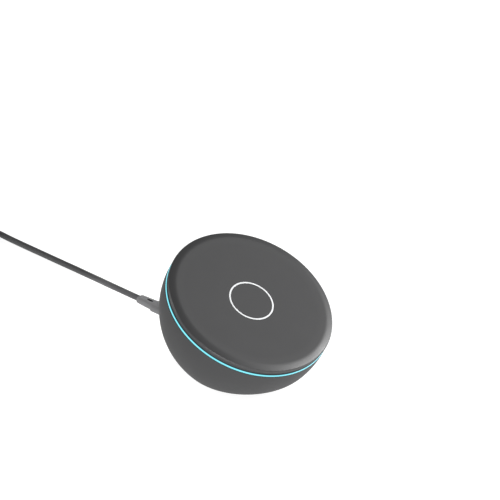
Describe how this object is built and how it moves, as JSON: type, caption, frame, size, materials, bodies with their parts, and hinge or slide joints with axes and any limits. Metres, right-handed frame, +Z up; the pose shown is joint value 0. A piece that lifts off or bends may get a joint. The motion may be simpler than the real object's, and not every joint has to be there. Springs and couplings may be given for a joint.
{
  "type": "wireless charging stand",
  "caption": "Ball-shaped wireless charging stand with a slanted round charging face, a light ring under the face, and a plug-in USB cable.",
  "frame": {"origin": "centre of the rubber foot's underside, on the ball's vertical axis", "axes": "+Z up; -Y towards the low side of the slanted charging face; +Y towards the high side, where the cable plugs in; +X to the right seen from the low side"},
  "size_m": [0.0983, 0.3009, 0.0693],
  "materials": {
    "body_plastic": "soft-touch fine matte",
    "inner_plastic": "moulded matte",
    "mark_paint": "satin print",
    "light_guide": "frosted, lit from behind",
    "foot_rubber": "matte",
    "steel": "satin",
    "copper_wire": "enamelled copper strands",
    "ferrite": "sintered, matte",
    "circuit_board": "solder mask",
    "chip_plastic": "moulded",
    "led_resin": "clear resin",
    "connector_plastic": "moulded",
    "cord_plastic": "soft matte jacket",
    "tie_strap": "matte"
  },
  "bodies": {
    "pad": {"ballast": "steel", "base_screw_1": "steel", "base_screw_2": "steel", "base_screw_3": "steel", "board_screw_1": "steel", "board_screw_2": "steel", "board_screw_3": "steel", "capacitor_1": "steel", "capacitor_2": "steel", "charge_controller": "chip_plastic", "charging_coil": "copper_wire", "coil_carrier": "inner_plastic", "coil_driver": "chip_plastic", "coil_lead_1": "copper_wire", "coil_lead_2": "copper_wire", "ferrite_shield": "ferrite", "foot_pad": "foot_rubber", "head_screw_1": "steel", "head_screw_2": "steel", "head_screw_3": "steel", "lead_connector": "connector_plastic", "led_1": "led_resin", "led_2": "led_resin", "led_3": "led_resin", "led_4": "led_resin", "led_5": "led_resin", "led_6": "led_resin", "led_7": "led_resin", "led_8": "led_resin", "led_board": "circuit_board", "led_harness": "connector_plastic", "light_ring": "light_guide", "lower_shell": "body_plastic", "magnet_1": "steel", "magnet_2": "steel", "magnet_3": "steel", "magnet_4": "steel", "magnet_5": "steel", "magnet_6": "steel", "magnet_7": "steel", "magnet_8": "steel", "main_board": "circuit_board", "mid_frame": "inner_plastic", "power_inductor": "ferrite", "ring_mark": "mark_paint", "temperature_sensor": "chip_plastic", "top_cover": "body_plastic", "usb_c_socket": "steel"},
    "cable": {"usb_c_shell": "steel", "usb_c_overmould": "cord_plastic", "usb_c_strain_relief": "cord_plastic", "cord_lead": "cord_plastic", "cord_coil": "cord_plastic", "cord_tie": "tie_strap", "cord_tail": "cord_plastic", "usb_a_strain_relief": "cord_plastic", "usb_a_overmould": "cord_plastic", "usb_a_shell": "steel", "usb_a_insert": "connector_plastic"}
  },
  "joints": [
    {"name": "plug_slide", "type": "slide", "parent": "pad", "child": "cable", "axis": [0, 1, 0], "range_m": [0, 0.01]}
  ]
}
